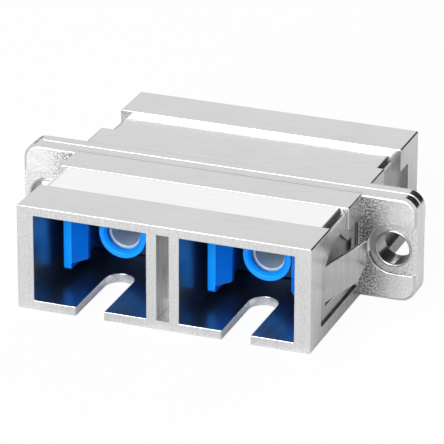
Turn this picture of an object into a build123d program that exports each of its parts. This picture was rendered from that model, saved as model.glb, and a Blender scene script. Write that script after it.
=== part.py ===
from build123d import *
import os

# Duplex square plug adapter with a metal shell, for two push-pull fibre plugs a side.
# Frame: X across the two ports, Y front to back, Z up. The two castings meet at Y = 0,
# and the flat underside of the body lies on Z = 0. Lengths are in millimetres.

# Body casting
PORT_PITCH = 12.7
HALF_DEPTH = 13.5
BODY_WIDTH = 25.4
BODY_HEIGHT = 9.1
BODY_EDGE_R = 0.15
PORT_WIDTH = 9.85
PORT_HEIGHT = 7.5
PORT_CORNER_R = 0.06
FLOOR_WALL = 0.8
PORT_AXIS_Z = FLOOR_WALL + PORT_HEIGHT / 2

# Keyway in the floor of each port
KEYWAY_WIDTH = 2.5
KEYWAY_LENGTH = 7.6

# Blind channel in the web between the ports
CHANNEL_WIDTH = 1.05
CHANNEL_DEPTH = 4.0

# Flange and its mounting holes
FLANGE_WIDTH = 34.9
FLANGE_HALF_T = 1.25
FLANGE_RISE = 0.1
FLANGE_CORNER_R = 1.4
FLANGE_EDGE = 0.25
PARTING_EDGE = 0.08
HOLE_PITCH = 30.8
PAD_R = 2.15
PAD_DEPTH = 0.3

# Seat of the spring clip: a strap groove over the top and a wide pocket in each side
STRAP_SEAT_FRONT = 4.6
STRAP_SEAT_LENGTH = 4.4
SEAT_TOP_DEPTH = 0.34
SEAT_SIDE_DEPTH = 0.5
SEAT_CORNER_R = 0.55
POCKET_FRONT = 2.5
POCKET_LENGTH = 9.1
POCKET_BOTTOM = 1.25
POCKET_HEIGHT = 5.9
POCKET_CORNER_R = 0.4

# Spring clip, folded from one strip
CLIP_T = 0.3
CLIP_BEND_GAP = 0.05
CLIP_END_GAP = 0.08
STRAP_GAP = 0.06
CLIP_SHOULDER_R = 0.35
TONGUE_HEIGHT = 3.15
TONGUE_AXIS_Z = 4.375
TONGUE_SLOT_GAP = 0.12
TONGUE_LOW_GAP = 0.35
TONGUE_ROOT = 1.55
TONGUE_RUN = 4.7
TONGUE_RISE = 1.1
LIP_RUN = 1.45
LIP_RISE = 0.3
LIP_END_HEIGHT = 2.1
WINDOW_END_GAP = 0.2
ARCH_BASE = 5.3
ARCH_CROWN = 1.7
ARCH_HEIGHT = 1.3
ARCH_R = 0.4

# Moulded inner mount: foot, sleeve tube and two latch arms
FOOT_WIDTH = 10.5
FOOT_HEIGHT = 7.9
FOOT_GAP = 0.05
STEP_GAP = 0.08
STEP_T = 0.6
TUBE_OD = 4.2
TUBE_REACH = 6.4
TUBE_LIP_T = 0.6
TUBE_LIP_BORE = 2.9
TUBE_LEAD_IN = 0.25
ARM_REACH = 9.0
ARM_T = 0.67
ARM_OFFSET = 3.51
ARM_HEIGHT = 5.3
ARM_ROOT_T = 0.35
ARM_ROOT_RUN = 0.9
NOSE_DEPTH = 0.95
NOSE_RAMP = 1.4
NOSE_FLAT = 0.45
NOSE_HEIGHT = 4.2
ARM_TIP_CUT = 0.15

# Split alignment sleeve
SLEEVE_BORE = 2.5
SLEEVE_WALL = 0.35
SLEEVE_LENGTH = 11.4
SLEEVE_SLIT = 0.5
SLEEVE_FLOAT = 0.06
SLEEVE_EDGE = 0.08

# Tubular rivets that line the mounting holes
RIVET_BORE = 2.75
RIVET_WALL = 0.12
RIVET_GAP = 0.03
RIVET_HEAD_R = 1.62
RIVET_HEAD_T = 0.12

CUT = 1.0


def front_plane(y):
    """Sketch plane facing the front at depth y, with X to the right and Z up."""
    return Plane(origin=(0, y, 0), x_dir=(1, 0, 0), z_dir=(0, -1, 0))


def side_plane(x):
    """Sketch plane at place x that looks back along X: its first axis is Y, its second Z."""
    return Plane(origin=(x, 0, 0), x_dir=(0, 1, 0), z_dir=(1, 0, 0))


def block(x0, x1, y0, y1, z0, z1):
    """Box between two opposite corners."""
    centre = ((x0 + x1) / 2, (y0 + y1) / 2, (z0 + z1) / 2)
    return Pos(*centre) * Box(x1 - x0, y1 - y0, z1 - z0)


def port_centres():
    """X of the left and of the right port."""
    return (-PORT_PITCH / 2, PORT_PITCH / 2)


def seat_core(y0, y1):
    """What is left of the body's section inside the strap groove, with its rounded shoulders."""
    half = BODY_WIDTH / 2 - SEAT_SIDE_DEPTH
    top = BODY_HEIGHT - SEAT_TOP_DEPTH
    core = block(-half, half, y0 - CUT, y1 + CUT, -CUT, top)
    shoulders = core.edges().filter_by(Axis.Y).group_by(Axis.Z)[-1]
    return fillet(shoulders, SEAT_CORNER_R)


def strap_groove():
    """Groove that takes the clip's strap, down to the side pockets."""
    y0 = -HALF_DEPTH + STRAP_SEAT_FRONT
    y1 = y0 + STRAP_SEAT_LENGTH
    half = BODY_WIDTH / 2 + CUT
    low = POCKET_BOTTOM + POCKET_HEIGHT - POCKET_CORNER_R
    ring = block(-half, half, y0, y1, low, BODY_HEIGHT + CUT)
    return ring - seat_core(y0, y1)


def side_pocket(side):
    """Wide shallow pocket that takes a leg of the clip, on the side given by its sign."""
    y_mid = -HALF_DEPTH + POCKET_FRONT + POCKET_LENGTH / 2
    z_mid = POCKET_BOTTOM + POCKET_HEIGHT / 2
    face = side_plane(BODY_WIDTH / 2 - SEAT_SIDE_DEPTH)
    outline = face * Pos(y_mid, z_mid) * RectangleRounded(POCKET_LENGTH, POCKET_HEIGHT, POCKET_CORNER_R)
    pocket = extrude(outline, SEAT_SIDE_DEPTH + CUT)
    return pocket if side > 0 else mirror(pocket, about=Plane.YZ)


def port_cavity(x):
    """Plug space of one port, with the wider seat of the inner mount's foot behind it."""
    mouth = front_plane(CUT) * Pos(x, PORT_AXIS_Z) * RectangleRounded(PORT_WIDTH, PORT_HEIGHT, PORT_CORNER_R)
    cavity = extrude(mouth, HALF_DEPTH + 2 * CUT)
    seat = front_plane(CUT) * Pos(x, PORT_AXIS_Z) * Rectangle(FOOT_WIDTH + 2 * FOOT_GAP, FOOT_HEIGHT + 2 * FOOT_GAP)
    return cavity + extrude(seat, FLANGE_HALF_T + CUT)


def keyway(x):
    """Slot through the floor of one port, open at the front, with a round inner end."""
    end_y = -HALF_DEPTH + KEYWAY_LENGTH - KEYWAY_WIDTH / 2
    straight = block(x - KEYWAY_WIDTH / 2, x + KEYWAY_WIDTH / 2, -HALF_DEPTH - CUT, end_y, -CUT, PORT_AXIS_Z)
    end = Pos(x, end_y, (PORT_AXIS_Z - CUT) / 2) * Cylinder(KEYWAY_WIDTH / 2, PORT_AXIS_Z + CUT)
    return straight + end


def web_channel():
    """Blind upright channel between the two ports, closed above and below."""
    low = FLOOR_WALL
    high = FLOOR_WALL + PORT_HEIGHT
    half = CHANNEL_WIDTH / 2
    return block(-half, half, -HALF_DEPTH - CUT, -HALF_DEPTH + CHANNEL_DEPTH, low, high)


def flange_half():
    """Half of the mounting flange, a little prouder than the body, with both its edges broken."""
    height = BODY_HEIGHT + FLANGE_RISE
    outline = front_plane(0) * Pos(0, height / 2) * RectangleRounded(FLANGE_WIDTH, height, FLANGE_CORNER_R)
    plate = extrude(outline, FLANGE_HALF_T)
    plate = chamfer(plate.faces().sort_by(Axis.Y)[0].edges(), FLANGE_EDGE)
    return chamfer(plate.faces().sort_by(Axis.Y)[-1].edges(), PARTING_EDGE)


def rivet_pad(side):
    """Shallow seat round a mounting hole, open towards the flange's outer edge."""
    x = side * HOLE_PITCH / 2
    y0 = -FLANGE_HALF_T - CUT
    y1 = -FLANGE_HALF_T + PAD_DEPTH
    disc = Pos(x, (y0 + y1) / 2, PORT_AXIS_Z) * Rot(90, 0, 0) * Cylinder(PAD_R, y1 - y0)
    outer = side * (FLANGE_WIDTH / 2 + CUT)
    lane = block(min(x, outer), max(x, outer), y0, y1, PORT_AXIS_Z - PAD_R, PORT_AXIS_Z + PAD_R)
    return disc + lane


def rivet_hole(side):
    """Through hole of the flange, with a running gap round the rivet."""
    radius = RIVET_BORE / 2 + RIVET_WALL + RIVET_GAP
    place = Pos(side * HOLE_PITCH / 2, -FLANGE_HALF_T / 2, PORT_AXIS_Z)
    return place * Rot(90, 0, 0) * Cylinder(radius, FLANGE_HALF_T + 2 * CUT)


def housing_half():
    """One casting, as it stands at the front. The rear one is the same casting turned round."""
    inside_flange = -FLANGE_HALF_T / 2
    shape = RectangleRounded(BODY_WIDTH, BODY_HEIGHT, BODY_EDGE_R)
    section = front_plane(inside_flange) * Pos(0, BODY_HEIGHT / 2) * shape
    body = extrude(section, HALF_DEPTH + inside_flange) + flange_half()
    body -= strap_groove()
    for side in (-1, 1):
        body -= side_pocket(side)
        body -= rivet_pad(side)
        body -= rivet_hole(side)
    for x in port_centres():
        body -= port_cavity(x)
        body -= keyway(x)
    return body - web_channel()


def clip_section():
    """Front view of the clip: a strap over the top and a leg down each side, as a closed outline."""
    half = BODY_WIDTH / 2 - SEAT_SIDE_DEPTH
    top = BODY_HEIGHT - SEAT_TOP_DEPTH
    low = POCKET_BOTTOM + CLIP_END_GAP
    inner = Rectangle(2 * half, 2 * (top - low))
    bend_r = SEAT_CORNER_R - CLIP_BEND_GAP
    inner = fillet(inner.vertices(), bend_r)
    outer = Rectangle(2 * half + 2 * CLIP_T, 2 * (top - low) + 2 * CLIP_T)
    outer = fillet(outer.vertices(), bend_r + CLIP_T)
    lower_half = Pos(0, -(top - low) - CUT) * Rectangle(BODY_WIDTH + CUT, 2 * (top - low) + 2 * CUT)
    return Pos(0, low) * (outer - inner - lower_half)


def leg_rear():
    """Y of the rear edge of the clip's legs."""
    return -HALF_DEPTH + POCKET_FRONT + POCKET_LENGTH - CLIP_END_GAP


def clip_blank():
    """Side view of the clip: a narrow strap, wide legs below, and the arched window the tongue leaves."""
    y0 = -HALF_DEPTH + STRAP_SEAT_FRONT + STRAP_GAP
    y1 = y0 + STRAP_SEAT_LENGTH - 2 * STRAP_GAP
    leg0 = -HALF_DEPTH + POCKET_FRONT + CLIP_END_GAP
    leg1 = leg_rear()
    low = POCKET_BOTTOM + CLIP_END_GAP
    high = POCKET_BOTTOM + POCKET_HEIGHT - CLIP_END_GAP
    leg = Pos((leg0 + leg1) / 2, (low + high) / 2) * RectangleRounded(leg1 - leg0, high - low, CLIP_SHOULDER_R)
    strap_top = BODY_HEIGHT + CUT
    strap_low = low + (high - low) / 2
    strap = Pos((y0 + y1) / 2, (strap_top + strap_low) / 2) * Rectangle(y1 - y0, strap_top - strap_low)
    window0 = -HALF_DEPTH + POCKET_FRONT + TONGUE_ROOT
    window1 = window0 + TONGUE_RUN + LIP_RUN + WINDOW_END_GAP
    window_top = TONGUE_AXIS_Z + TONGUE_HEIGHT / 2 + TONGUE_SLOT_GAP
    window_low = TONGUE_AXIS_Z - TONGUE_HEIGHT / 2 - TONGUE_LOW_GAP
    middle = (y0 + y1) / 2
    outline = [(window0, window_low), (window1, window_low), (window1, window_top),
               (middle + ARCH_BASE / 2, window_top), (middle + ARCH_CROWN / 2, window_top + ARCH_HEIGHT),
               (middle - ARCH_CROWN / 2, window_top + ARCH_HEIGHT), (window0, window_top)]
    window = make_face(Polyline(*outline, close=True))
    crown = window.vertices().group_by(Axis.Y)[-1]
    return leg + strap - fillet(crown, ARCH_R)


def tongue(side):
    """Spring tongue cut from a leg: it flares outwards towards the flange and ends in a flatter lip."""
    root_y = -HALF_DEPTH + POCKET_FRONT + TONGUE_ROOT
    root_x = BODY_WIDTH / 2 - SEAT_SIDE_DEPTH
    knee = (root_x + TONGUE_RISE, root_y + TONGUE_RUN)
    tip = (knee[0] + LIP_RISE, knee[1] + LIP_RUN)
    inner = [(root_x, root_y - CLIP_T), (root_x, root_y), knee, tip]
    outer = [(x + CLIP_T, y) for x, y in reversed(inner)]
    outline = make_face(Polyline(*inner, *outer, close=True))
    low = TONGUE_AXIS_Z - TONGUE_HEIGHT / 2
    high = TONGUE_AXIS_Z + TONGUE_HEIGHT / 2
    plate = extrude(Pos(0, 0, low) * outline, TONGUE_HEIGHT)
    corner = [(knee[1], low), (tip[1], high - LIP_END_HEIGHT), (tip[1] + CUT, high - LIP_END_HEIGHT),
              (tip[1] + CUT, low - CUT), (knee[1], low - CUT)]
    trim = extrude(side_plane(root_x - CUT) * make_face(Polyline(*corner, close=True)), 2 * CUT + 2 * TONGUE_RISE)
    plate -= trim
    return plate if side > 0 else mirror(plate, about=Plane.YZ)


def retaining_clip():
    """Folded spring clip: the section swept front to back, trimmed to the blank, with its two tongues."""
    y0 = -HALF_DEPTH + POCKET_FRONT
    bent = extrude(front_plane(leg_rear() + CUT) * clip_section(), leg_rear() + CUT - y0)
    half = BODY_WIDTH / 2 + CUT
    blank = extrude(side_plane(-half) * clip_blank(), 2 * half)
    return (bent & blank) + tongue(-1) + tongue(1)


def latch_arm(side):
    """One latch arm of a mount: a thin beam with a swollen root and a ramped nose near its tip."""
    inner = ARM_OFFSET
    outer = ARM_OFFSET + ARM_T
    root = -FLANGE_HALF_T - STEP_T
    tip = -ARM_REACH
    beam = [(inner, tip), (outer, tip), (outer, root - ARM_ROOT_RUN), (outer + ARM_ROOT_T, root),
            (outer + ARM_ROOT_T, root + STEP_T / 2), (inner - ARM_ROOT_T, root + STEP_T / 2),
            (inner - ARM_ROOT_T, root), (inner, root - ARM_ROOT_RUN)]
    arm = extrude(Pos(0, 0, PORT_AXIS_Z - ARM_HEIGHT / 2) * make_face(Polyline(*beam, close=True)), ARM_HEIGHT)
    tips = arm.edges().filter_by(Axis.X).group_by(Axis.Y)[0]
    arm = chamfer(tips, ARM_TIP_CUT)
    peak = tip + NOSE_RAMP
    back = peak + NOSE_FLAT
    nose = [(inner, tip), (inner - NOSE_DEPTH, peak), (inner - NOSE_DEPTH, back), (inner + ARM_T / 2, back),
            (inner + ARM_T / 2, tip)]
    arm += extrude(Pos(0, 0, PORT_AXIS_Z - NOSE_HEIGHT / 2) * make_face(Polyline(*nose, close=True)), NOSE_HEIGHT)
    return arm if side > 0 else mirror(arm, about=Plane.YZ)


def inner_mount():
    """One moulded mount about its own port axis: foot, step, sleeve tube and two latch arms."""
    foot = block(-FOOT_WIDTH / 2, FOOT_WIDTH / 2, -FLANGE_HALF_T, 0,
                 PORT_AXIS_Z - FOOT_HEIGHT / 2, PORT_AXIS_Z + FOOT_HEIGHT / 2)
    step_w = PORT_WIDTH / 2 - STEP_GAP
    step_h = PORT_HEIGHT / 2 - STEP_GAP
    step = block(-step_w, step_w, -FLANGE_HALF_T - STEP_T, -FLANGE_HALF_T, PORT_AXIS_Z - step_h, PORT_AXIS_Z + step_h)
    step = chamfer(step.edges().filter_by(Axis.Y), PORT_CORNER_R)
    bore_r = SLEEVE_BORE / 2 + SLEEVE_WALL + SLEEVE_FLOAT
    lip_y = -TUBE_REACH + TUBE_LIP_T
    half = [(TUBE_LIP_BORE / 2, lip_y), (TUBE_LIP_BORE / 2, -TUBE_REACH + TUBE_LEAD_IN),
            (TUBE_LIP_BORE / 2 + TUBE_LEAD_IN, -TUBE_REACH), (TUBE_OD / 2, -TUBE_REACH),
            (TUBE_OD / 2, -FLANGE_HALF_T), (bore_r, -FLANGE_HALF_T), (bore_r, lip_y)]
    tube = revolve(Plane.XY * make_face(Polyline(*half, close=True)), Axis.Y)
    body = foot + step + Pos(0, 0, PORT_AXIS_Z) * tube
    bore = Pos(0, lip_y / 2, PORT_AXIS_Z) * Rot(90, 0, 0) * Cylinder(bore_r, -lip_y)
    body -= bore
    return body + latch_arm(-1) + latch_arm(1)


def split_sleeve():
    """Alignment sleeve about its own axis along Y, with a slit down its whole length."""
    outer = SLEEVE_BORE / 2 + SLEEVE_WALL
    inner = SLEEVE_BORE / 2
    end = SLEEVE_LENGTH / 2
    half = [(inner, -end + SLEEVE_EDGE), (inner + SLEEVE_EDGE, -end), (outer, -end), (outer, end),
            (inner + SLEEVE_EDGE, end), (inner, end - SLEEVE_EDGE)]
    tube = revolve(Plane.XY * make_face(Polyline(*half, close=True)), Axis.Y)
    slit = block(-SLEEVE_SLIT / 2, SLEEVE_SLIT / 2, -end - CUT, end + CUT, 0, outer + CUT)
    return Pos(0, 0, PORT_AXIS_Z) * (tube - slit)


def tubular_rivet():
    """Eyelet about its own axis along Y: a thin tube with a rolled head in the pad at each side."""
    inner = RIVET_BORE / 2
    outer = inner + RIVET_WALL
    seat = FLANGE_HALF_T - PAD_DEPTH
    face = seat + RIVET_HEAD_T
    profile = [(inner, 0), (inner, face - RIVET_WALL), (outer, face), (RIVET_HEAD_R, seat), (outer, seat),
               (outer, 0)]
    half = make_face(Polyline(*profile, close=True))
    shell = revolve(Plane.XY * half, Axis.Y)
    return Pos(0, 0, PORT_AXIS_Z) * (shell + mirror(shell, about=Plane.XZ))


def build_parts():
    """All pieces in their places, by name."""
    turned = Rot(0, 0, 180)
    front = housing_half()
    parts = {"front_housing": front, "rear_housing": turned * front, "retaining_clip": retaining_clip()}
    mount = inner_mount()
    sleeve = split_sleeve()
    rivet = tubular_rivet()
    for name, side in (("left", -1), ("right", 1)):
        x = side * PORT_PITCH / 2
        parts[name + "_front_mount"] = Pos(x, 0, 0) * mount
        parts[name + "_rear_mount"] = Pos(x, 0, 0) * turned * mount
        parts[name + "_sleeve"] = Pos(x, 0, 0) * sleeve
        parts[name + "_rivet"] = Pos(side * HOLE_PITCH / 2, 0, 0) * rivet
    return parts


os.makedirs("parts", exist_ok=True)
for node, solid in build_parts().items():
    export_step(solid, f"parts/{node}.step")
    print(node, round(solid.volume, 2))
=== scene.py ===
# %% [markdown]
# # A metal adapter for two pairs of square fibre plugs
#
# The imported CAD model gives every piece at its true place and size. This lesson
# dresses it: each casting, spring, rivet and moulding gets the soft edges and the
# finish of the real one, and the camera stands where the photograph was taken.
# Everything is in metres, X across the two ports, Y front to back, Z up.

import math

import bmesh
import bpy
import numpy as np
from mathutils import Matrix, Vector


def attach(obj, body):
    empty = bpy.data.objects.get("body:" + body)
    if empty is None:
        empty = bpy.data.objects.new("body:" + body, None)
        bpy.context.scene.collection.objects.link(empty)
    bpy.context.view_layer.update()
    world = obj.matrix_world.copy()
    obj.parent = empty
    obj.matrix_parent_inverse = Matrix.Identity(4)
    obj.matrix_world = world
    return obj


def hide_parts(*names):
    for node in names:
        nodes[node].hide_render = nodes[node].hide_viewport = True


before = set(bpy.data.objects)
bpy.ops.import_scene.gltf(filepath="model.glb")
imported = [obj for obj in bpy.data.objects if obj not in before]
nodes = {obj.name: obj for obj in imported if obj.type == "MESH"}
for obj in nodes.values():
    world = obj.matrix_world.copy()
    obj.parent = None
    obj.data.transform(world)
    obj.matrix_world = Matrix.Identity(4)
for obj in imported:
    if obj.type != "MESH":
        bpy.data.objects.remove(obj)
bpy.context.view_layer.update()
MM = 0.001
print("nodes:", sorted(nodes))

# %% [markdown]
# ## A new piece in the frame
#
# Every new piece tells the frame two things: the body that carries it and the CAD node
# that it stands for. One helper says both, so no piece can leave one out.

# %% A piece on the part's body


def link_piece(name, mesh, stands_for):
    """Puts a mesh in the scene as a piece that rides on the part's one body."""
    piece = bpy.data.objects.new(name, mesh)
    bpy.context.scene.collection.objects.link(piece)
    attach(piece, "root")
    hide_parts(stands_for)
    print(name, "stands for", stands_for, "with", len(mesh.polygons), "faces")
    return piece


# %% [markdown]
# ## How a finished copy is made
#
# A CAD node arrives as loose flat triangles with razor-sharp edges. On a real casting
# no outer edge is sharp: the tool, the tumbling drum and the plating all round it a
# little, and that thin round is what catches the light. A bevel on the bare triangles
# would round every seam between two of them. So the copy is merged first, its flat
# faces are put back together, and only then does a bevel round the outer edges. Inner
# corners stay crisp, as a cast or folded one does at this scale, so each edge carries
# its own share of the round. The copy keeps the node's form and stands in for it.

# %% Whole faces from triangles
ROUND = 0.2 * MM
MERGE = 0.001 * MM
FLAT_DEG, TURN_DEG = 0.6, 30


def whole_faces(node, edge_round):
    """The node's triangles, merged at their corners and joined wherever they are coplanar.
    Each edge that turns by more than TURN_DEG gets a bevel weight: the radius that
    edge_round gives it, in millimetres, as a share of ROUND."""
    bm = bmesh.new()
    bm.from_mesh(nodes[node].data)
    bmesh.ops.remove_doubles(bm, verts=bm.verts, dist=MERGE)
    triangles = len(bm.faces)
    bmesh.ops.dissolve_limit(bm, angle_limit=math.radians(FLAT_DEG), verts=bm.verts,
                             edges=bm.edges)
    weight = bm.edges.layers.float.new("bevel_weight_edge")
    for edge in bm.edges:
        if edge.calc_face_angle(0) > math.radians(TURN_DEG):
            middle = (edge.verts[0].co + edge.verts[1].co) / 2 / MM
            edge[weight] = edge_round(middle, edge) * MM / ROUND
    print(node, triangles, "triangles are", len(bm.faces), "whole faces")
    mesh = bpy.data.meshes.new(node + "_shape")
    bm.to_mesh(mesh)
    bm.free()
    return mesh


# %% [markdown]
# ## Shading that keeps flats flat
#
# Smooth shading blends the normals of all faces that meet at a corner, so a thin round
# would tint the whole flat beside it. The Weighted Normal modifier is one way to mend
# that. Here the normals are worked out in the open instead, so that the rule can be
# read: a face's corner looks only at those neighbours that turn little from it, and the
# large ones among them count most.

# %% Normals of the face corners
FAN_DEG = 50


def face_values(mesh, attribute, width):
    """One row per face: the width numbers of an attribute, read in one go."""
    values = np.empty(len(mesh.polygons) * width, np.float32)
    mesh.polygons.foreach_get(attribute, values)
    return values.reshape(-1, width).astype(float)


def corner_normals(mesh):
    """Shading normal of each face corner: the mean of the normals round its vertex, weighted
    by area, over the faces that turn less than FAN_DEG from the corner's own face. Every
    corner is paired with all the corners at its vertex, itself among them, as two long
    arrays, and the pairs of one corner are summed."""
    vertex = np.empty(len(mesh.loops), np.int32)
    mesh.loops.foreach_get("vertex_index", vertex)
    sizes = np.empty(len(mesh.polygons), np.int32)
    mesh.polygons.foreach_get("loop_total", sizes)
    face = np.repeat(np.arange(len(sizes)), sizes)
    normals, areas = face_values(mesh, "normal", 3), face_values(mesh, "area", 1)

    around = np.bincount(vertex, minlength=len(mesh.vertices))
    vertex_start = np.cumsum(around) - around
    by_vertex = np.argsort(vertex, kind="stable")
    pairs = around[vertex]
    corner_start = np.cumsum(pairs) - pairs
    own = np.repeat(np.arange(len(vertex)), pairs)
    step = np.arange(len(own)) - corner_start[own]
    other = by_vertex[vertex_start[vertex[own]] + step]

    here, there = normals[face[own]], normals[face[other]]
    near = (here * there).sum(axis=1, keepdims=True) > math.cos(math.radians(FAN_DEG))
    total = np.add.reduceat(near * areas[face[other]] * there, corner_start, axis=0)
    return total / np.linalg.norm(total, axis=1, keepdims=True)


# %% [markdown]
# ## The bevel and the finished mesh
#
# The bevel could stay on the piece as a live modifier. Here it is applied, because the
# normals of the last step need the rounded faces. Each edge's round is the bevel's
# width times the edge's weight, so one modifier gives them all.

# %% Finished copy


def soft_copy(node, edge_round, segments=2):
    """Finished mesh of a node: whole faces, rounded edges and shading that keeps flats flat."""
    rough = bpy.data.objects.new(node + "_rough", whole_faces(node, edge_round))
    bpy.context.scene.collection.objects.link(rough)
    bevel = rough.modifiers.new("soft_edges", "BEVEL")
    bevel.width = ROUND
    bevel.segments = segments
    bevel.limit_method = "WEIGHT"
    bevel.use_clamp_overlap = False
    shown = rough.evaluated_get(bpy.context.evaluated_depsgraph_get())
    mesh = bpy.data.meshes.new_from_object(shown)
    mesh.name = node + "_finished"
    bpy.data.objects.remove(rough)
    mesh.shade_smooth()
    mesh.normals_split_custom_set(corner_normals(mesh).tolist())
    return mesh


def outer_round(radius):
    """Edge rule that rounds every outer edge by the same radius."""
    return lambda middle, edge: radius if edge.is_convex else 0.0


# %% [markdown]
# ## Several finishes on one piece
#
# One piece of metal can be ground, cast and drawn in different places. Cutting it up
# would leave seams, so the mesh stays whole, carries all its materials, and each face
# holds the number of one. The rules that choose it use the finishes' names.

# %% Finishes by face


def set_finishes(piece, finishes, rules):
    """Gives the piece its finishes, a name and a material each, and every face one of them.
    rules takes the faces' middles, in millimetres, and their normals. It returns pairs: a
    finish's name and the faces it is for. A face takes the first pair that names it, or
    else the first finish."""
    names = list(finishes)
    for material in finishes.values():
        piece.data.materials.append(material)
    pairs = rules(face_values(piece.data, "center", 3) / MM, face_values(piece.data, "normal", 3))
    index = np.select([faces for _, faces in pairs], [names.index(name) for name, _ in pairs], 0)
    piece.data.polygons.foreach_set("material_index", index.astype(np.int32))
    print(piece.name, {name: int((index == i).sum()) for i, name in enumerate(names)})


# %% [markdown]
# ## Shared effects as node groups
#
# Three things return on several finishes: a painted highlight along the edges, a fine
# grain, and long streaks from rolling or brushing. Each could be built anew in every
# material. As a node group it is built once, puts out only a mask or a height, and every
# material uses it at its own strength. All of them read Object coordinates, in metres, so
# a pattern has the same true size on every piece.

# %% Helpers for node trees


def new_group(name, inputs, outputs):
    """A shader node group with float inputs (name, default) and float outputs (name)."""
    group = bpy.data.node_groups.new(name, "ShaderNodeTree")
    for label, default in inputs:
        socket = group.interface.new_socket(label, in_out="INPUT", socket_type="NodeSocketFloat")
        socket.default_value = default
    for label in outputs:
        group.interface.new_socket(label, in_out="OUTPUT", socket_type="NodeSocketFloat")
    return group, group.nodes.new("NodeGroupInput"), group.nodes.new("NodeGroupOutput")


def add(tree, kind, inputs=None, **settings):
    """One node, with its settings and the values or links of its inputs."""
    node = tree.nodes.new(kind)
    for key, value in settings.items():
        setattr(node, key, value)
    for key, value in (inputs or {}).items():
        if isinstance(value, bpy.types.NodeSocket):
            tree.links.new(value, node.inputs[key])
        else:
            node.inputs[key].default_value = value
    return node


# %% Helpers for values


def calc(tree, operation, *values, clamp=False):
    """Result of a Math node on its values or links."""
    return add(tree, "ShaderNodeMath", dict(enumerate(values)), operation=operation,
               use_clamp=clamp).outputs[0]


def spread_value(tree, source, low, high, from_low=0.3, from_high=0.7):
    """Maps a mask from its own span to the span low to high. Noise keeps to about 0.3 to 0.7."""
    return add(tree, "ShaderNodeMapRange", {"Value": source, "From Min": from_low,
                                            "From Max": from_high, "To Min": low,
                                            "To Max": high}).outputs[0]


def noise(tree, place, scale, detail):
    """Plain noise between 0 and 1 at a place, with its scale in features per metre."""
    return add(tree, "ShaderNodeTexNoise", {"Vector": place, "Scale": scale,
                                            "Detail": detail}).outputs["Fac"]


# %% [markdown]
# ## Painted edge highlight
#
# A rounded edge catches the light as a thin bright line. Here that line is a painted
# highlight. Cycles can round the normal over a short radius without touching the mesh,
# and where that rounded normal parts from the plain one there is an edge, whose colour is
# lightened. Noise breaks the painted line up, so that it is uneven.

# %% Painted edge highlight


def painted_highlight_group():
    """Mask of the painted edge highlight, which rises where the surface turns within Radius:
    one minus the cosine between the plain normal and the normal rounded over Radius, times
    Gain, broken up by noise."""
    group, given, out = new_group(
        "painted_edge_highlight", [("Radius", 0.0001), ("Gain", 3.0), ("Patch Scale", 900.0)], ["Mask"])
    geometry = add(group, "ShaderNodeNewGeometry")
    rounded = add(group, "ShaderNodeBevel", {"Radius": given.outputs["Radius"]}, samples=6)
    agree = add(group, "ShaderNodeVectorMath", {0: geometry.outputs["Normal"],
                                                1: rounded.outputs["Normal"]},
                operation="DOT_PRODUCT")
    turned = calc(group, "SUBTRACT", 1.0, agree.outputs["Value"])
    raised = calc(group, "MULTIPLY", turned, given.outputs["Gain"])
    coords = add(group, "ShaderNodeTexCoord")
    patches = noise(group, coords.outputs["Object"], given.outputs["Patch Scale"], 3.0)
    broken = spread_value(group, patches, 0.35, 1.0, 0.3, 0.6)
    mask = calc(group, "MULTIPLY", raised, broken, clamp=True)
    group.links.new(mask, out.inputs["Mask"])
    return group


PAINTED_EDGE_HIGHLIGHT = painted_highlight_group()
print("group:", PAINTED_EDGE_HIGHLIGHT.name)

# %% [markdown]
# ## Cast grain
#
# A die casting is never quite flat. The melt leaves coarse waves, and where the mould
# was blasted rather than polished, a fine grit. Both are small enough to be relief in
# the material: as geometry they would need millions of faces. The grit and its dark
# specks are strongest in the corner beside the body and fade from there.

# %% Cast grain
GRAIN_INPUTS = [("Wave Scale", 600.0), ("Grit Scale", 5000.0), ("Grit Share", 0.5),
                ("X Share", 0.0), ("Y Share", 0.0), ("Near", 1.0), ("Far", 2.0), ("Least", 0.0)]


def grit_fade(group, given, place):
    """Share of the grit: 1 up to Near, Least from Far on, and even between them, over the
    distance X times X Share plus Y times Y Share, each without its sign."""
    along = add(group, "ShaderNodeSeparateXYZ", {0: place})
    across = calc(group, "MULTIPLY", calc(group, "ABSOLUTE", along.outputs["X"]),
                  given.outputs["X Share"])
    reach = calc(group, "MULTIPLY_ADD", calc(group, "ABSOLUTE", along.outputs["Y"]),
                 given.outputs["Y Share"], across)
    return spread_value(group, reach, 1.0, given.outputs["Least"], given.outputs["Near"],
                        given.outputs["Far"])


def cast_grain_group():
    """Height of a plated casting: coarse waves plus fine grit, both plain noise in space; the
    grit alone, for its share in the colour; and a patch value for slow changes of tone."""
    group, given, out = new_group("cast_grain", GRAIN_INPUTS, ["Height", "Grit", "Patches"])
    place = add(group, "ShaderNodeTexCoord").outputs["Object"]
    fade = grit_fade(group, given, place)
    wave = noise(group, place, given.outputs["Wave Scale"], 3.0)
    grit = noise(group, place, given.outputs["Grit Scale"], 2.0)
    kept = calc(group, "MULTIPLY", calc(group, "MULTIPLY", grit, fade), given.outputs["Grit Share"])
    specks = calc(group, "MULTIPLY", spread_value(group, grit, 0.0, 1.0, 0.38, 0.6), fade)
    group.links.new(calc(group, "ADD", wave, kept), out.inputs["Height"])
    group.links.new(specks, out.inputs["Grit"])
    group.links.new(noise(group, place, 180.0, 4.0), out.inputs["Patches"])
    return group


CAST_GRAIN = cast_grain_group()
print("group:", CAST_GRAIN.name, [label for label, _ in GRAIN_INPUTS])

# %% [markdown]
# ## Streaks
#
# Rolls, grinding belts and the steel cores of a mould all leave long fine lines. Noise
# in a space that is squeezed along two axes gives lines along the third one, on faces
# of any direction and with no seam, where an image of scratches would show its edges.

# %% Streaks


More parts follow.
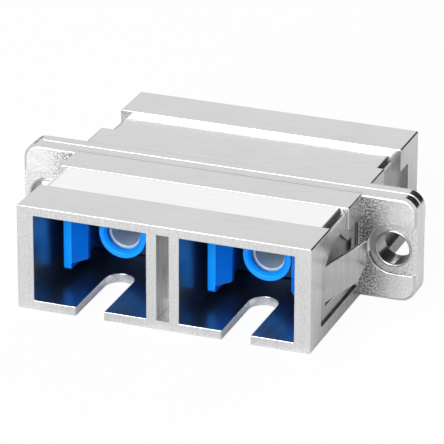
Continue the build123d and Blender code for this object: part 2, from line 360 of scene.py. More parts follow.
def streak_group():
    """Long fine lines: noise in a space that is stretched along one axis. The three
    scales are the noise's scales along X, Y and Z, so the smallest is the line's direction."""
    group, given, out = new_group(
        "streaks", [("X Scale", 4000.0), ("Y Scale", 4000.0), ("Z Scale", 200.0)], ["Height"])
    coords = add(group, "ShaderNodeTexCoord")
    scales = add(group, "ShaderNodeCombineXYZ", {axis: given.outputs[axis + " Scale"]
                                                 for axis in "XYZ"})
    stretched = add(group, "ShaderNodeVectorMath", {0: coords.outputs["Object"],
                                                    1: scales.outputs[0]}, operation="MULTIPLY")
    group.links.new(noise(group, stretched.outputs[0], 1.0, 3.0), out.inputs["Height"])
    return group


STREAKS = streak_group()
print("group:", STREAKS.name)

# %% [markdown]
# ## Materials in a few lines
#
# Every finish here has the same plan: one Principled shader, whose all-over values sit
# on its own sockets, a colour and a roughness that follow the same mask, and on most of
# them a relief. Small helpers for the steps of that plan keep each finish readable.

# %% Helpers for materials


def grey(level):
    """Colour with its three parts at one level."""
    return (level, level, level, 1.0)


def new_material(name, **constants):
    """A material with one Principled shader, whose all-over values are set on its sockets."""
    material = bpy.data.materials.new(name)
    material.use_nodes = True
    tree = material.node_tree
    tree.nodes.clear()
    shader = add(tree, "ShaderNodeBsdfPrincipled", constants)
    add(tree, "ShaderNodeOutputMaterial", {"Surface": shader.outputs[0]})
    return material, tree, shader


def use_group(tree, group, **values):
    """Places a node group, with this material's own values; underscores stand for spaces."""
    named = {key.replace("_", " "): value for key, value in values.items()}
    return add(tree, "ShaderNodeGroup", named, node_tree=group)


def streaks(tree, scales):
    """Height of the streaks with these scales along X, Y and Z."""
    return use_group(tree, STREAKS, X_Scale=scales[0], Y_Scale=scales[1],
                     Z_Scale=scales[2]).outputs["Height"]


# %% Helpers for colour and relief
MIX_SHARE, MIX_FIRST, MIX_SECOND, MIX_RESULT = 0, 6, 7, 2


def mix_colours(tree, share, first, second):
    """Colour between first and second by share, each a colour or a link. The Mix node has a
    set of sockets for each type of data, and the MIX numbers are those of the colours."""
    inputs = {MIX_SHARE: share, MIX_FIRST: first, MIX_SECOND: second}
    return add(tree, "ShaderNodeMix", inputs, data_type="RGBA").outputs[MIX_RESULT]


def paint_edge_highlight(tree, base, edge_tone, radius_mm, gain, patch_scale):
    """Colour that turns from base to edge_tone along the edges: a painted highlight."""
    edge = use_group(tree, PAINTED_EDGE_HIGHLIGHT, Radius=radius_mm * MM, Gain=gain, Patch_Scale=patch_scale)
    return mix_colours(tree, edge.outputs["Mask"], base, edge_tone)


def bump(tree, height, depth_mm, after=None):
    """Normal of a relief that is depth_mm deep where the height goes from 0 to 1, laid over
    another relief's normal if there is one."""
    inputs = {"Height": height, "Distance": depth_mm * MM}
    if after is not None:
        inputs["Normal"] = after
    return add(tree, "ShaderNodeBump", inputs).outputs[0]


# %% [markdown]
# ## Satin nickel over a zinc casting
#
# The two shells are pressure-cast zinc with a satin nickel plate. Where the plate turns
# over an edge it carries a painted highlight, and its flats are slightly clouded. Fresh
# plating would be even, so the cloud is kept weak: roughness and colour follow the same
# patches, and a fine grain lifts the surface by a few thousandths of a millimetre, or a
# few hundredths where the skin of the mould is left. One function makes every finish of
# the castings, so that they all look like one metal.

# %% Casting finish
# The first colour is the painted edge highlight, the second the colour of the dark grit specks, and
# the last a painted shade.
PLATE_EDGE_HIGHLIGHT, PLATE_SPECK, PAINTED_SHADE_TONE = grey(0.95), grey(0.06), grey(0.05)
CLOUDS = 0.7, 1.3


def casting_finish(name, light, dark, rough, grain, lines, wave=900.0, grit=5200.0, fade=None,
                   speck=0.0, edge_highlight=True, shade=None):
    """Plated casting. Patches and drawn lines, added up, move colour and roughness together.
    grain is the depth of the cast skin in mm and its share of fine grit; lines is the depth
    of the drawn lines in mm and their scales along X, Y and Z; wave and grit are the scales
    of the skin; fade holds the skin's own values for where the grit fades; speck is how much
    the grit darkens the plate; the edge flag paints a highlight along the edges; shade is
    the span of heights, in metres, over which the colour is painted darker, a painted shade."""
    material, tree, shader = new_material(name, Metallic=1.0)
    skin = use_group(tree, CAST_GRAIN, Wave_Scale=wave, Grit_Scale=grit, Grit_Share=grain[1],
                     **(fade or {}))
    drawn = streaks(tree, lines[1:])
    clouds = calc(tree, "ADD", skin.outputs["Patches"], drawn)
    base = mix_colours(tree, spread_value(tree, clouds, 0.0, 1.0, *CLOUDS), dark, light)
    if speck:
        base = mix_colours(tree, calc(tree, "MULTIPLY", skin.outputs["Grit"], speck), base,
                           PLATE_SPECK)
    # Painted shade: the colour darkens towards the low end of the span of heights.
    if shade:
        place = add(tree, "ShaderNodeTexCoord").outputs["Object"]
        height = add(tree, "ShaderNodeSeparateXYZ", {0: place}).outputs["Z"]
        base = mix_colours(tree, spread_value(tree, height, 1.0, 0.0, *shade), base, PAINTED_SHADE_TONE)
    # Painted highlight along the edges.
    if edge_highlight:
        base = paint_edge_highlight(tree, base, PLATE_EDGE_HIGHLIGHT, 0.08, 2.0, 2600.0)
    tree.links.new(base, shader.inputs["Base Color"])
    tree.links.new(spread_value(tree, clouds, rough[1], rough[0], *CLOUDS),
                   shader.inputs["Roughness"])
    relief = bump(tree, drawn, lines[0])
    relief = bump(tree, skin.outputs["Height"], grain[0], after=relief)
    tree.links.new(relief, shader.inputs["Normal"])
    return material


# %% [markdown]
# ## Outer faces of the castings
#
# The top and the underside are tumbled flats with lines along X. The mouth is ground
# across its height, so fine lines run up and down it. The body's sides and the flange
# keep the skin of the mould, with grit in the corner that they share. The flange's two
# ends and the floors of the pads round its holes are a little smoother.

# %% Outer finishes
UPRIGHT_LINES = 4200.0, 4200.0, 260.0
EVEN_LINES = 900.0, 900.0, 900.0

# The light and dark levels of these finishes differ partly by finish and partly as painted light
# and shade, set for how each group of faces is lit.
GROUND_FLAT = casting_finish("plated_flat", grey(0.655), grey(0.61), (0.15, 0.24),
                             (0.003, 0.5), (0.001, 700.0, 5200.0, 5200.0))
MOUTH = casting_finish("ground_mouth", grey(0.78), grey(0.64), (0.2, 0.32), (0.008, 0.8),
                       (0.003, *UPRIGHT_LINES), grit=8000.0, speck=0.22)
BODY_SIDE = casting_finish("cast_side", grey(0.76), grey(0.60), (0.14, 0.24), (0.012, 1.0),
                           (0.001, *UPRIGHT_LINES), wave=1100.0, grit=8000.0, speck=0.4,
                           fade={"Y_Share": 1.0, "Near": 0.006, "Far": 0.011, "Least": 0.0})
AS_CAST = casting_finish("cast_skin", grey(0.90), grey(0.74), (0.28, 0.4), (0.03, 1.0),
                         (0.001, *EVEN_LINES), wave=1500.0, grit=6400.0, speck=0.85,
                         fade={"X_Share": 1.0, "Near": 0.0134, "Far": 0.0154, "Least": 0.22})
PAD = casting_finish("pad_face", grey(0.88), grey(0.78), (0.25, 0.36), (0.012, 1.0),
                     (0.001, *EVEN_LINES), wave=1500.0, grit=6400.0, speck=0.3)
RIM = casting_finish("flange_rim", grey(0.84), grey(0.76), (0.15, 0.24), (0.003, 0.5),
                     (0.001, 5200.0, 5200.0, 700.0))
print("outer finishes:", [m.name for m in (GROUND_FLAT, MOUTH, BODY_SIDE, AS_CAST, PAD, RIM)])

# %% [markdown]
# ## Inner faces of the castings
#
# Plating reaches little into a hole, and little light does, so what lies deep has darker
# colours: partly the thinner plate, partly painted shade. The ports' walls carry the draw
# lines of the steel cores that form them, along Y, and mirror the blue mounts softly;
# their colour is tinted blue as well, a painted reflection of the mounts. The channel
# between the ports and the pockets in the sides have upright lines, and the channel's
# colour is painted lighter, as painted light. Under the clip the pocket's floor is painted
# darker towards its low edge, a painted shade where the clip's leg shuts out the light;
# the rear casting has no clip, so its pocket stays even. The thin walls of pockets and pads
# are painted nearly black, a painted shadow in those narrow gaps.

# %% Inner finishes
POCKET_LOOK = {"light": grey(0.50), "dark": grey(0.34), "rough": (0.3, 0.45),
               "grain": (0.006, 0.8), "lines": (0.006, 4500.0, 4500.0, 300.0)}

# The blue tint is a painted reflection of the blue mounts, and the low level is partly painted
# shade.
PORT_WALL = casting_finish("core_drawn_wall", (0.29, 0.36, 0.42, 1), (0.23, 0.29, 0.34, 1),
                           (0.29, 0.33), (0.002, 0.5), (0.0006, 4000.0, 300.0, 4000.0),
                           edge_highlight=False)
POCKET = casting_finish("pocket_floor", **POCKET_LOOK)
# Painted shade under the clip: darker towards the pocket's low edge.
CLIP_POCKET = casting_finish("pocket_under_clip", shade=(0.0030, 0.0050), **POCKET_LOOK)
# The channel's high light level is painted light.
CHANNEL = casting_finish("channel_wall", grey(0.98), grey(0.48), (0.4, 0.55), (0.006, 0.8),
                         (0.006, 6000.0, 6000.0, 200.0))
# Nearly black: painted shadow in the narrow slots and on the pad walls that look up.
SLOT_PAINTED_SHADOW = casting_finish("slot_painted_shadow", grey(0.10), grey(0.06), (0.4, 0.6),
                           (0.006, 0.8), (0.001, *EVEN_LINES))
print("inner finishes:", [m.name for m in (PORT_WALL, POCKET, CLIP_POCKET, CHANNEL, SLOT_PAINTED_SHADOW)])

# %% [markdown]
# ## Rounds on the castings' edges
#
# The flange's rim was left with a wide round by the mould, and the parting line with a
# narrower one, so the joint between the shells shows as a bright and a dark line. All
# other outer edges were tumbled after casting and have one small round. A Bevel
# modifier reads these radii as weights, one for each edge.

# %% Edges of the castings, in millimetres
BODY_SIDE_X = 12.7
FLANGE_FACE_Y = 1.25
FLANGE_BEND_LOW, FLANGE_BEND_HIGH = 1.5, 7.7
FLANGE_TOP_Z, EAR_X = 8.8, BODY_SIDE_X + 3
PARTING_Y = 0.3
OUTER_ROUND, FLANGE_ROUND, PARTING_ROUND = 0.05, 0.08, 0.06


def casting_edge(middle, edge):
    """Radius of a casting's outer edge: wide along the top, bottom and corners of the flange,
    narrower at the parting line, and plain elsewhere. Inner edges stay crisp."""
    if not edge.is_convex:
        return 0.0
    if abs(middle.y) < PARTING_Y:
        return PARTING_ROUND
    on_bend = middle.z > FLANGE_BEND_HIGH or middle.z < FLANGE_BEND_LOW
    on_rim = abs(middle.y) < FLANGE_FACE_Y + 0.01 and (abs(middle.x) > EAR_X
                                                       or middle.z > FLANGE_TOP_Z)
    return FLANGE_ROUND if on_bend and on_rim else OUTER_ROUND


print("rounds in mm:", {"outer": OUTER_ROUND, "flange": FLANGE_ROUND, "parting": PARTING_ROUND})

# %% [markdown]
# ## Which face has which finish
#
# The faces could be picked by hand, but a rule says why each has its finish, and it
# still holds when the CAD changes by a little. Each rule reads where a face's middle
# lies and which way the face looks. Both castings are the same one, turned round, so
# the rules look at distances without their sign.

# %% Places on the castings, in millimetres
PORT_X, PORT_HALF_WIDTH = 6.35, 4.93
PORT_LOW, PORT_HIGH = 0.78, 8.32
PORT_WALL_X = PORT_X + PORT_HALF_WIDTH
MOUTH_Y = 13.45
CHANNEL_HALF_WIDTH, KEYWAY_HALF_WIDTH = 0.55, 1.3
POCKET_LOW, POCKET_HIGH = 1.25, 7.15
SIDE_LOW, SIDE_HIGH = 0.5, 8.5
PAD_LOW, PAD_HIGH = 2.2, 6.9
PAD_FLOOR_Y, PAD_TOP_Y = 1.0, 1.2
RIM_X = BODY_SIDE_X + 4
SQUARE_ON = 0.9
SLOT_UP, PAD_UP = 0.6, 0.25
print("port walls at x =", PORT_X - PORT_HALF_WIDTH, "and", PORT_WALL_X)

# %% Rules for the castings


def casting_rules(centres, normals):
    """The mouth is farthest from the parting plane and looks along Y; its rounds are flats.
    A port is near its middle in X, between floor and roof, and so is the channel about X
    zero. A pocket's floor looks along X inside the body's side, and its low wall looks up.
    A pad's floor lies below the flange's face, and its wall between the two: the part of
    the wall that looks up is as dark as a slot. A keyway lies in the floor of a port."""
    x, y, z, up = abs(centres[:, 0]), abs(centres[:, 1]), centres[:, 2], normals[:, 2]
    faces_x, faces_y = abs(normals[:, 0]) > SQUARE_ON, abs(normals[:, 1]) > SQUARE_ON
    mouth = y > MOUTH_Y
    inside = (z > PORT_LOW) & (z < PORT_HIGH)
    in_pocket = (x > PORT_WALL_X) & (x < BODY_SIDE_X - 0.1) & (z > POCKET_LOW) & (z < POCKET_HIGH)
    low_wall = ((x > PORT_WALL_X) & (x < BODY_SIDE_X - 0.01) & (up > SLOT_UP)
                & (abs(z - POCKET_LOW) < 0.05))
    on_side = faces_x & (abs(x - BODY_SIDE_X) < 0.02) & (z > SIDE_LOW) & (z < SIDE_HIGH)
    on_ear = x > BODY_SIDE_X + 0.05
    pad_wall = (on_ear & ~faces_y & (z > PAD_LOW) & (z < PAD_HIGH) & (y < PAD_TOP_Y)
                & (y > PAD_FLOOR_Y))
    in_keyway = (abs(x - PORT_X) < KEYWAY_HALF_WIDTH) & (z < PORT_LOW) & (z > 0.02)
    return [("mouth", mouth & faces_y),
            ("flat", mouth),
            ("port", inside & (abs(x - PORT_X) < PORT_HALF_WIDTH)),
            ("channel", inside & (x < CHANNEL_HALF_WIDTH)),
            ("pocket", in_pocket & faces_x),
            ("slot", low_wall | (pad_wall & (up > PAD_UP))),
            ("side", on_side),
            ("rim", pad_wall | (faces_x & (x > RIM_X))),
            ("pad", on_ear & faces_y & (y < PAD_FLOOR_Y)),
            ("skin", on_ear & faces_y),
            ("mouth", in_keyway)]


# %% [markdown]
# ## The two castings
#
# Both shells are one casting, made twice, and the rear one is turned round. One loop
# dresses them, and only the pocket differs, because the clip lies in the front one.
# Their bevel has three segments, one more than the other pieces, since theirs are the
# largest rounds.

# %% The two castings
CASTING_FINISHES = {"flat": GROUND_FLAT, "skin": AS_CAST, "port": PORT_WALL, "mouth": MOUTH,
                    "pocket": POCKET, "channel": CHANNEL, "side": BODY_SIDE, "slot": SLOT_PAINTED_SHADOW,
                    "rim": RIM, "pad": PAD}

for shell, pocket in (("front_housing", CLIP_POCKET), ("rear_housing", POCKET)):
    casting = link_piece(shell + "_finished", soft_copy(shell, casting_edge, 3), shell)
    set_finishes(casting, {**CASTING_FINISHES, "pocket": pocket}, casting_rules)

# %% [markdown]
# ## Spring clip
#
# The clip is folded from rolled spring steel, so its grain runs along the strip, over
# the top and down both legs. The strap and the legs are one steel, painted at two levels:
# the strap lighter, a painted highlight where it mirrors the room, and the flats of the
# legs darker, a painted shade. Along the edges of both runs a painted highlight. The cut
# edges are torn by the shears and dark, with lines across the sheet's thickness.

# %% Steel of the clip


def rolled_steel(name, light, dark, lines):
    """Rolled strip: lines along the strip move colour and roughness together; lines are
    their scales along X, Y and Z. The edges get a painted highlight."""
    material, tree, shader = new_material(name, Metallic=1.0)
    rolled = streaks(tree, lines)
    sheet = mix_colours(tree, spread_value(tree, rolled, 0.0, 1.0), dark, light)
    tree.links.new(paint_edge_highlight(tree, sheet, grey(0.97), 0.06, 2.0, 1100.0), shader.inputs["Base Color"])
    tree.links.new(spread_value(tree, rolled, 0.20, 0.23), shader.inputs["Roughness"])
    return material


def sheared_steel(name):
    """Cut edge: dark streaks move colour and roughness together."""
    material, tree, shader = new_material(name, Metallic=1.0)
    torn = streaks(tree, (900.0, 6000.0, 6000.0))
    tone = mix_colours(tree, spread_value(tree, torn, 0.0, 1.0), (0.10, 0.10, 0.11, 1),
                       (0.26, 0.26, 0.27, 1))
    tree.links.new(tone, shader.inputs["Base Color"])
    tree.links.new(spread_value(tree, torn, 0.3, 0.5), shader.inputs["Roughness"])
    return material


# One steel: the strap's light level is painted highlight, the legs' dark level painted shade.
STEEL = rolled_steel("strap_steel_painted_highlight", grey(0.93), grey(0.90), (350.0, 2600.0, 350.0))
SHADED_LEG_STEEL = rolled_steel("leg_steel_painted_shade", grey(0.58), grey(0.48), (350.0, 3600.0, 350.0))
SHEARED = sheared_steel("sheared_steel_edge")
print("materials:", [m.name for m in (STEEL, SHADED_LEG_STEEL, SHEARED)])

# %% [markdown]
# ## The folded strip
#
# The CAD node already has the clip's bends, window and tongues at their true size. All
# it lacks is the slight round that tumbling leaves on a sheared edge, so its copy gets
# one, small against the sheet's 0.3 mm. A leg is known by being far out in X.

# %% Clip, in millimetres
LEG_X = 12.15
CLIP_ROUND = 0.03


def clip_rules(centres, normals):
    """On a leg, which is farther out than LEG_X, the flats look right or left, and the cut
    edges do not."""
    on_leg, sideways = abs(centres[:, 0]) > LEG_X, abs(normals[:, 0])
    return [("leg", on_leg & (sideways > 0.93)), ("cut", on_leg & (sideways < 0.1))]


clip = link_piece("retaining_clip_finished", soft_copy("retaining_clip", outer_round(CLIP_ROUND)),
                  "retaining_clip")
set_finishes(clip, {"strap": STEEL, "leg": SHADED_LEG_STEEL, "cut": SHEARED}, clip_rules)

# %% [markdown]
# ## Blue mouldings
#
# Each port holds a mount moulded in blue polyester: a foot plate, the tube round the
# sleeve and the two latch arms. Fresh mouldings are glossy with a faint orange-peel
# skin. The sides that look across the port get less light than the ends, so they are
# painted a deeper blue, a painted shade. Towards the foot little light comes in, and the
# colour sinks into the dark of the port. Path tracing alone leaves it too bright there,
# since the white room shines in, so the base colour falls off with depth as well, as
# painted shade. The edges are painted a paler blue, a painted highlight.

# %% Blue plastic
FOOT_Y, ARM_MID_Y = 2.5, 5.5
DEEP_BLUE = (0.0, 0.02, 0.10, 1)


def moulding(name, plain, bright, rim):
    """Moulded plastic: fine skin, patches that move colour and roughness together, a paler
    painted highlight along the edges, and DEEP_BLUE, painted shade, at the foot. The share of
    the plain colour goes from 0 to 1 as Y, without its sign, goes from FOOT_Y to ARM_MID_Y."""
    material, tree, shader = new_material(name, **{"IOR": 1.45, "Specular IOR Level": 0.3})
    skin = use_group(tree, CAST_GRAIN, Wave_Scale=900.0, Grit_Scale=4200.0, Grit_Share=0.3)
    patches = skin.outputs["Patches"]
    body = mix_colours(tree, spread_value(tree, patches, 0.0, 1.0), plain, bright)
    place = add(tree, "ShaderNodeTexCoord").outputs["Object"]
    along = add(tree, "ShaderNodeSeparateXYZ", {0: place}).outputs["Y"]
    depth = spread_value(tree, calc(tree, "ABSOLUTE", along), 0.0, 1.0, FOOT_Y * MM,
                         ARM_MID_Y * MM)
    tone = mix_colours(tree, depth, DEEP_BLUE, body)
    # The paler rim colour along the edges is a painted highlight, and DEEP_BLUE at the foot is
    # painted shade.
    tree.links.new(paint_edge_highlight(tree, tone, rim, 0.08, 1.2, 900.0), shader.inputs["Base Color"])
    tree.links.new(spread_value(tree, patches, 0.24, 0.34), shader.inputs["Roughness"])
    tree.links.new(bump(tree, skin.outputs["Height"], 0.003), shader.inputs["Normal"])
    return material


BLUE = moulding("blue_moulding", (0.0, 0.26, 0.93, 1), (0.0, 0.30, 0.98, 1), (0.01, 0.40, 1.0, 1))
SHADED_BLUE_SIDE = moulding("blue_side_painted_shade", (0.0, 0.15, 0.72, 1), (0.0, 0.18, 0.78, 1),
                     (0.01, 0.30, 0.95, 1))
print("materials:", BLUE.name, SHADED_BLUE_SIDE.name)

# %% [markdown]
# ## The four mounts
#
# Two mounts show in the photograph, and the rear two are the same moulding turned
# round, so one loop dresses all four. A moulding leaves its tool with edges a few
# hundredths of a millimetre round.

# %% Mounts, in millimetres
MOUNT_ROUND = 0.05


def mount_rules(centres, normals):
    """The sides that look right or left get the deeper blue, a painted shade."""
    return [("side", abs(normals[:, 0]) > 0.8)]


for node in ("left_front_mount", "left_rear_mount", "right_front_mount", "right_rear_mount"):
    mount = link_piece(node + "_finished", soft_copy(node, outer_round(MOUNT_ROUND)),
                       node)
    set_finishes(mount, {"end": BLUE, "side": SHADED_BLUE_SIDE}, mount_rules)

# %% [markdown]
# ## Ground and rolled rings
#
# The rivets and the ceramic sleeves are round, so a smooth profile turned about an axis
# along Y describes them better than any copy of facets. The turned surface is a grid:
# one parameter runs along the profile, the other round the axis.

# %% Turned surfaces


def arc(centre, radius, start_deg, end_deg, count):
    """Points of an arc as an array of (radius from the axis, place along the axis), by
    cosine and sine of an even run of angles."""
    turn = np.radians(np.linspace(start_deg, end_deg, count))
    return np.stack([centre[0] + radius * np.cos(turn), centre[1] + radius * np.sin(turn)], axis=1)


def grid_faces(count, turns, closed):
    """Faces that join neighbours on a grid of profile points by turns. Where the turn is not
    closed, the two end profiles become flat caps."""
    index = np.arange(count * turns).reshape(count, turns)
    along = np.roll(index, -1, axis=0)
    if closed:
        quads = [index, np.roll(index, -1, axis=1), np.roll(along, -1, axis=1), along]
        return np.stack(quads, axis=2).reshape(-1, 4).tolist()
    quads = np.stack([index[:, :-1], index[:, 1:], along[:, 1:], along[:, :-1]], axis=2)
    return quads.reshape(-1, 4).tolist() + [index[:, 0].tolist(), index[::-1, -1].tolist()]


# %% Turned mesh


def turned_mesh(name, profile, axis_x, axis_z, angles, closed):
    """Mesh of a closed profile turned about an axis along Y. A point (r, y) of the profile at
    angle a goes to x = axis_x + r cos a, z = axis_z + r sin a."""
    r, y = profile[:, 0, None], profile[:, 1, None]
    grid = np.stack(np.broadcast_arrays(axis_x + r * np.cos(angles), y,
                                        axis_z + r * np.sin(angles)), axis=2) * MM
    mesh = bpy.data.meshes.new(name)
    mesh.from_pydata(grid.reshape(-1, 3).tolist(), [],
                     grid_faces(len(profile), len(angles), closed))
    bm = bmesh.new()
    bm.from_mesh(mesh)
    bmesh.ops.recalc_face_normals(bm, faces=bm.faces)
    bm.to_mesh(mesh)
    bm.free()
    mesh.shade_smooth()
    mesh.validate()
    return mesh


# %% [markdown]
# ## Ceramic sleeves
#
# A split tube of white zirconia holds the two ferrules end to end. It is ground inside
# and out, so its lines run round it, and its edges are broken by a small round. Deep in
# the port most light reaches it off blue plastic, so its colour is painted a pale blue
# grey in place of white: painted shade and painted blue bounce light. A little light
# passes through the ceramic.

# %% Ceramic


def ground_ceramic(name):
    """Ground ceramic: fine lines across Y move colour and roughness together; the blue grey
    colours are painted shade and painted blue bounce light over the white.
    """
    material, tree, shader = new_material(
        name, **{"IOR": 1.75, "Subsurface Weight": 0.3, "Subsurface Scale": 0.0005})
    ground = streaks(tree, (2500.0, 9000.0, 2500.0))
    # Painted shade and painted blue bounce light: blue grey in place of white.
    tint = mix_colours(tree, spread_value(tree, ground, 0.0, 1.0), (0.40, 0.50, 0.62, 1),
                       (0.48, 0.58, 0.70, 1))
    tree.links.new(tint, shader.inputs["Base Color"])
    tree.links.new(spread_value(tree, ground, 0.15, 0.28), shader.inputs["Roughness"])
    tree.links.new(bump(tree, ground, 0.001), shader.inputs["Normal"])
    return material


CERAMIC = ground_ceramic("ground_ceramic")
print("material:", CERAMIC.name)

# %% [markdown]
# ## The split sleeve
#
# The wall's section is a rectangle with a small round at each corner. It is carried
# round almost a full circle and stops at the slit, which points up, and a flat cap
# closes each side of the slit. The sleeve hides in its tube but for the ring in front,
# so 65 steps round the circle are enough.

# %% Sleeves, in millimetres
AXIS_Z = 4.55
SLEEVE_BORE_R, SLEEVE_OUTER_R, SLEEVE_HALF = 1.25, 1.6, 5.7
SLEEVE_SLIT, SLEEVE_EDGE_R = 0.5, 0.08
SLEEVE_STEPS = 65


def sleeve_profile():
    """Section of the tube's wall: four quarter arcs of SLEEVE_EDGE_R, whose centres lie that
    far inside the wall's corners."""
    low_r, high_r = SLEEVE_BORE_R + SLEEVE_EDGE_R, SLEEVE_OUTER_R - SLEEVE_EDGE_R
    end = SLEEVE_HALF - SLEEVE_EDGE_R
    centres = ((high_r, end), (low_r, end), (low_r, -end), (high_r, -end))
    return np.concatenate([arc(centre, SLEEVE_EDGE_R, 90 * i, 90 * i + 90, 5)
                           for i, centre in enumerate(centres)])


half_slit = math.asin(SLEEVE_SLIT / 2 / SLEEVE_OUTER_R)
sleeve_turn = math.pi / 2 + np.linspace(half_slit, 2 * math.pi - half_slit, SLEEVE_STEPS)
for side, x in (("left", -PORT_X), ("right", PORT_X)):
    ring = turned_mesh(side + "_sleeve_ring", sleeve_profile(), x, AXIS_Z, sleeve_turn, False)
    sleeve = link_piece(side + "_sleeve_finished", ring, side + "_sleeve")
    sleeve.data.materials.append(CERAMIC)

# %% [markdown]
# ## Tubular rivets
#
# A thin plated tube goes through both halves of the flange, and a rolling tool turns
# its ends over into half-round heads. Screws pass through it later. Its plate is duller
# than the castings', and its colour is painted darker still, a painted shade for the dark
# bore; the heads' edges carry a painted highlight.

# %% Rivet plate


def plated_rivet(name):
    """Rolled and plated brass: patches move colour and roughness together; the dark tone is
    partly painted shade, and the heads' edges get a painted highlight.
    """
    material, tree, shader = new_material(name, Metallic=1.0)
    rolled = use_group(tree, CAST_GRAIN, Wave_Scale=1500.0, Grit_Scale=6000.0, Grit_Share=0.5)
    patches = rolled.outputs["Patches"]
    # Dark tone: partly the duller plate, partly painted shade.
    tone = mix_colours(tree, spread_value(tree, patches, 0.0, 1.0), (0.34, 0.34, 0.35, 1),
                       (0.46, 0.46, 0.47, 1))
    tree.links.new(paint_edge_highlight(tree, tone, grey(0.95), 0.07, 3.0, 2600.0), shader.inputs["Base Color"])
    tree.links.new(spread_value(tree, patches, 0.16, 0.28), shader.inputs["Roughness"])
    tree.links.new(bump(tree, rolled.outputs["Height"], 0.004), shader.inputs["Normal"])
    return material


RIVET_PLATE = plated_rivet("rivet_plate")
print("material:", RIVET_PLATE.name)

# %% [markdown]
# ## The rolled heads
#
# In section a head is half an ellipse that reaches from its rim to the bore, where the
# tool turned the tube outwards. The section runs through both heads and the straight
# tube between them as one closed line, and a full turn makes the rivet one skin.

# %% Rivets, in millimetres
RIVET_BORE_R, RIVET_OUTER_R, RIVET_HEAD_R = 1.375, 1.495, 1.62
RIVET_SEAT, RIVET_FACE = 0.95, 1.07
RIVET_X = 15.4
HEAD_STEPS, RIVET_STEPS = 13, 64


def rivet_profile():
    """Section of the wall: half an ellipse from the head's rim to the bore, which rises from
    RIVET_SEAT to RIVET_FACE, its mirror image at the other end, and the tube's outside."""
    middle, half = (RIVET_HEAD_R + RIVET_BORE_R) / 2, (RIVET_HEAD_R - RIVET_BORE_R) / 2
    sweep = np.radians(np.linspace(0, 180, HEAD_STEPS))
    head = np.stack([middle + half * np.cos(sweep),
                     RIVET_SEAT + (RIVET_FACE - RIVET_SEAT) * np.sin(sweep)], axis=1)
    return np.concatenate([[[RIVET_OUTER_R, RIVET_SEAT]], head, head[::-1] * (1, -1),
                           [[RIVET_OUTER_R, -RIVET_SEAT]]])


rivet_turn = np.linspace(0, 2 * math.pi, RIVET_STEPS, endpoint=False)
for side, x in (("left", -RIVET_X), ("right", RIVET_X)):
    ring = turned_mesh(side + "_rivet_ring", rivet_profile(), x, AXIS_Z, rivet_turn, True)
    rivet = link_piece(side + "_rivet_finished", ring, side + "_rivet")
    rivet.data.materials.append(RIVET_PLATE)

# %% [markdown]
# ## Where the photograph was taken
#
# The photograph is a long-lens view from the front right, 23 degrees above the part.
# The numbers come from fitting a plain pinhole camera to some thirty straight edges of
# the part in the picture.

# %% Camera
AZIMUTH, ELEVATION, ROLL = (math.radians(a) for a in (20.72, 23.27, -0.22))
DISTANCE = 325.4 * MM
TARGET = np.array([0, 0, 4.6]) * MM
SLIDE_X, SLIDE_Y = -0.01 * MM, 0.43 * MM
FOCAL_PIXELS, PICTURE_PIXELS, SENSOR = 3900.1, 444, 36.0

right = np.array([math.cos(AZIMUTH), math.sin(AZIMUTH), 0])
ahead = np.array([-math.sin(AZIMUTH) * math.cos(ELEVATION),
                  math.cos(AZIMUTH) * math.cos(ELEVATION), -math.sin(ELEVATION)])
above = np.cross(right, ahead)
picture_x = math.cos(ROLL) * right - math.sin(ROLL) * above
picture_y = math.sin(ROLL) * right + math.cos(ROLL) * above
stand = TARGET - DISTANCE * ahead - SLIDE_X * picture_x - SLIDE_Y * picture_y

lens = bpy.data.cameras.new("photo_camera")
lens.lens = FOCAL_PIXELS / PICTURE_PIXELS * SENSOR
lens.sensor_width = SENSOR
lens.clip_start, lens.clip_end = 0.01, 10
camera = bpy.data.objects.new("photo_camera", lens)
bpy.context.scene.collection.objects.link(camera)
pose = np.eye(4)
pose[:3] = np.column_stack([picture_x, picture_y, -ahead, stand])
camera.matrix_world = Matrix(pose.tolist())
bpy.context.scene.camera = camera
print("camera at", np.round(stand / MM, 1), "mm, lens", round(lens.lens, 1), "mm")

# %% [markdown]
# ## White table
#
# The part stands on a table that the photograph shows as plain white. A brighter lamp
# would whiten the table and burn out the metal. So the table glows at a strength of 1,
# but for the camera's own rays alone, and at 95 parts in 100. The rest is plain white
# paint, which keeps a faint shadow, and which lights the part from below.

# %% Table
TABLE_HALF, TABLE_DROP = 3.0, 0.02 * MM
TABLE_GLOW = 0.95

WHITE_TABLE, tree, paint = new_material("white_table", **{"Base Color": grey(0.9),
                                                          "Roughness": 0.7})
glow = add(tree, "ShaderNodeEmission", {"Color": grey(1.0), "Strength": 1.0})
rays = add(tree, "ShaderNodeLightPath")
share = calc(tree, "MULTIPLY", rays.outputs["Is Camera Ray"], TABLE_GLOW)
blend = add(tree, "ShaderNodeMixShader", {0: share, 1: paint.outputs[0], 2: glow.outputs[0]})
tree.links.new(blend.outputs[0], tree.nodes["Material Output"].inputs["Surface"])

corners = np.array([(-1, -1, 0), (1, -1, 0), (1, 1, 0), (-1, 1, 0)]) * TABLE_HALF
table_mesh = bpy.data.meshes.new("table")
table_mesh.from_pydata(corners.tolist(), [], [(0, 1, 2, 3)])
table = bpy.data.objects.new("table", table_mesh)
bpy.context.scene.collection.objects.link(table)
table.location.z = -TABLE_DROP
table.data.materials.append(WHITE_TABLE)
print("table", 2 * TABLE_HALF, "m wide")

# %% [markdown]
# ## White room
#
# Metal shows what is round it, so the room is white, at a strength of 1, to the camera
# and to mirrored and passing rays. For soft light it is dim, or it would flatten every
# shadow inside the ports.

# %% World
ROOM_LIGHT = 0.15

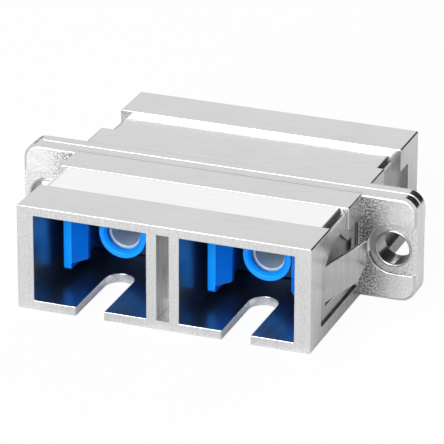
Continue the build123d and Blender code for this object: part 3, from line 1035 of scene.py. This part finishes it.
world = bpy.data.worlds.new("white_room")
bpy.context.scene.world = world
world.use_nodes = True
sky = world.node_tree
sky.nodes.clear()
rays = add(sky, "ShaderNodeLightPath")
seen = calc(sky, "MAXIMUM", rays.outputs["Is Camera Ray"], rays.outputs["Is Glossy Ray"])
seen = calc(sky, "MAXIMUM", seen, rays.outputs["Is Transmission Ray"])
dim = add(sky, "ShaderNodeBackground", {"Color": grey(1.0), "Strength": ROOM_LIGHT})
white = add(sky, "ShaderNodeBackground", {"Color": grey(1.0), "Strength": 1.0})
blend = add(sky, "ShaderNodeMixShader", {0: seen, 1: dim.outputs[0], 2: white.outputs[0]})
add(sky, "ShaderNodeOutputWorld", {"Surface": blend.outputs[0]})
print("room light", ROOM_LIGHT)

# %% [markdown]
# ## Soft lamps
#
# A product studio lights such a part with large soft boxes. The front one, a little to
# the left, lights the blue mounts in their ports and shines in the front faces. A weak
# one above and one behind fill the shadows. The metal does not mirror those two,
# because their glare would whiten the top from other sides.

# %% Lamps
LAMP_AIM = Vector((0, 0, 0.005))


def soft_lamp(name, stand_m, size_m, watts, mirrored):
    """Square area lamp that looks at the part, seen in the metal only if mirrored is true."""
    light = bpy.data.lights.new(name, "AREA")
    light.size = size_m
    light.energy = watts
    lamp = bpy.data.objects.new(name, light)
    bpy.context.scene.collection.objects.link(lamp)
    lamp.location = stand_m
    lamp.rotation_euler = (LAMP_AIM - Vector(stand_m)).to_track_quat("-Z", "Y").to_euler()
    lamp.visible_glossy = mirrored
    print(name, watts, "W, mirrored:", mirrored)


soft_lamp("top_lamp", (-0.15, 0.1, 0.6), 0.5, 1.0, False)
soft_lamp("front_lamp", (-0.1, -0.62, 0.28), 0.45, 6.1, True)
soft_lamp("back_lamp", (0.05, 0.62, 0.28), 0.45, 1.3, False)

# %% [markdown]
# ## Dark cards for the metal
#
# Bright metal in a white room looks like paper, because it has nothing dark to reflect.
# A product photographer stands black cards just outside the picture, and the metal
# shows them only where it curves: along rounded edges, in the bends of the clip, and on
# the corners of the flange. These cards are seen by glossy rays alone.

# %% Dark cards
CARD, tree, shader = new_material("dark_card", **{"Base Color": grey(0.01), "Roughness": 1.0})
CARD_REACH, CARD_STEPS = 0.5, 9


def dark_card(name, turn_deg, width_deg, low_deg, high_deg):
    """Upright curved card round the part: a grid over the compass angle, measured from the
    rear towards the right, and over the height angle. A point at angles a and h stands at
    the reach times (sine of a, cosine of a, tangent of h)."""
    turn = np.radians(turn_deg + np.linspace(-width_deg / 2, width_deg / 2, CARD_STEPS))
    tilt = np.radians(np.array([[low_deg], [high_deg]]))
    turn, tilt = np.broadcast_arrays(turn, tilt)
    grid = np.stack([np.sin(turn), np.cos(turn), np.tan(tilt)], axis=2) * CARD_REACH
    index = np.arange(2 * CARD_STEPS).reshape(2, CARD_STEPS)
    faces = np.stack([index[0, :-1], index[0, 1:], index[1, 1:], index[1, :-1]], axis=1)
    mesh = bpy.data.meshes.new(name)
    mesh.from_pydata(grid.reshape(-1, 3).tolist(), [], faces.tolist())
    card = bpy.data.objects.new(name, mesh)
    bpy.context.scene.collection.objects.link(card)
    card.data.materials.append(CARD)
    card.visible_camera = card.visible_diffuse = False
    card.visible_shadow = card.visible_transmission = False
    print(name, "at", turn_deg, "degrees,", width_deg, "wide, up to", high_deg)


dark_card("right_card", 22, 54, 0, 40)
dark_card("left_card", -32, 26, 0, 9)

# %% [markdown]
# ## Colour
#
# The Standard view shows each colour as it is written.

# %% View
bpy.context.scene.view_settings.view_transform = "Standard"
